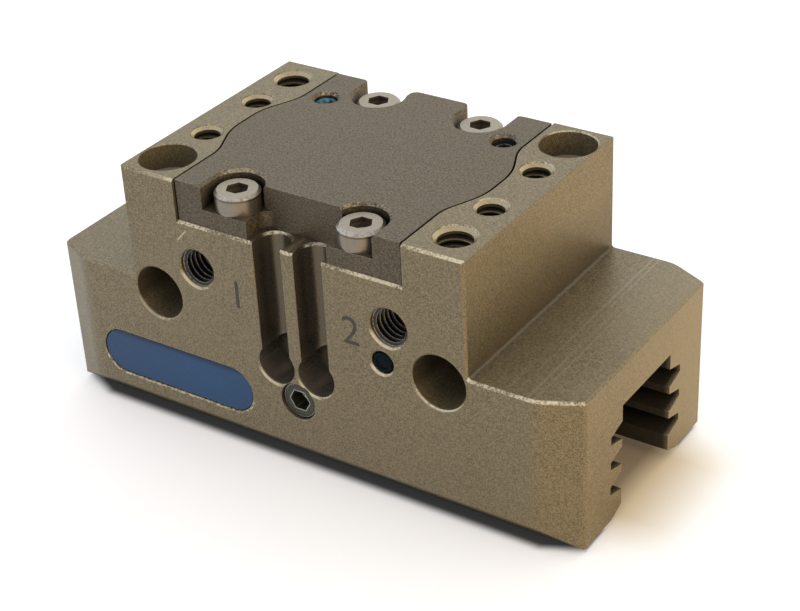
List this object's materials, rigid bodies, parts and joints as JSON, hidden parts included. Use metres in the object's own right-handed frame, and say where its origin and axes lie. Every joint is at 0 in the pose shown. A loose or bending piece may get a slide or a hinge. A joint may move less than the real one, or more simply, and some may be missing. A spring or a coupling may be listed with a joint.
{
  "type": "pneumatic parallel gripper",
  "caption": "Compact pneumatic parallel gripper: stepped anodised housing, screwed cover over an oval piston, and base jaws driven by a wedge hook in toothed guides.",
  "frame": {"origin": "on the bench plane under the middle of the housing; the base jaws stand on it", "axes": "+X along the jaw travel, -Y is the face with the air ports and the sensor slots, +Z towards the mounting face and the cover"},
  "size_m": [0.075, 0.0342, 0.0358],
  "materials": {
    "housing_anodised": "hard-anodised, matt",
    "cover_anodised": "hard-anodised, matt",
    "seal_rubber": "satin",
    "screw_steel": "satin",
    "small_screw_steel": "blackened, satin",
    "piston_aluminium": "turned",
    "guide_ring_plastic": "matt",
    "magnet_plating": "nickel-plated",
    "hook_steel": "ground",
    "retainer_steel": "satin",
    "jaw_steel": "hardened and ground",
    "centre_cover_steel": "satin",
    "plate_blue": "satin"
  },
  "bodies": {
    "housing_body": {"housing": "housing_anodised", "cover_plate": "cover_anodised", "cover_seal": "seal_rubber", "cover_screws": "screw_steel", "cover_port_screws": "small_screw_steel", "channel_plug_screw": "small_screw_steel", "grease_port_screw": "small_screw_steel", "rod_seal": "seal_rubber", "rod_seal_retainer": "retainer_steel", "centre_cover": "centre_cover_steel", "centre_cover_screws": "small_screw_steel", "name_plate": "plate_blue"},
    "piston_body": {"piston": "piston_aluminium", "piston_seal": "seal_rubber", "piston_guide_ring": "guide_ring_plastic", "piston_magnets": "magnet_plating", "piston_screw": "screw_steel", "wedge_hook": "hook_steel"},
    "left_jaw": {"base_jaw_left": "jaw_steel"},
    "right_jaw": {"base_jaw_right": "jaw_steel"}
  },
  "joints": [
    {"name": "piston_stroke", "type": "slide", "parent": "housing_body", "child": "piston_body", "axis": [0, 0, -1], "range_m": [0, 0.006]},
    {"name": "left_jaw_slide", "type": "slide", "parent": "housing_body", "child": "left_jaw", "axis": [-1, 0, 0], "range_m": [0, 0.006]},
    {"name": "right_jaw_slide", "type": "slide", "parent": "housing_body", "child": "right_jaw", "axis": [1, 0, 0], "range_m": [0, 0.006]}
  ],
  "couplings": [
    {"joint": "left_jaw_slide", "follows": "piston_stroke", "ratio": 1},
    {"joint": "right_jaw_slide", "follows": "piston_stroke", "ratio": 1}
  ]
}
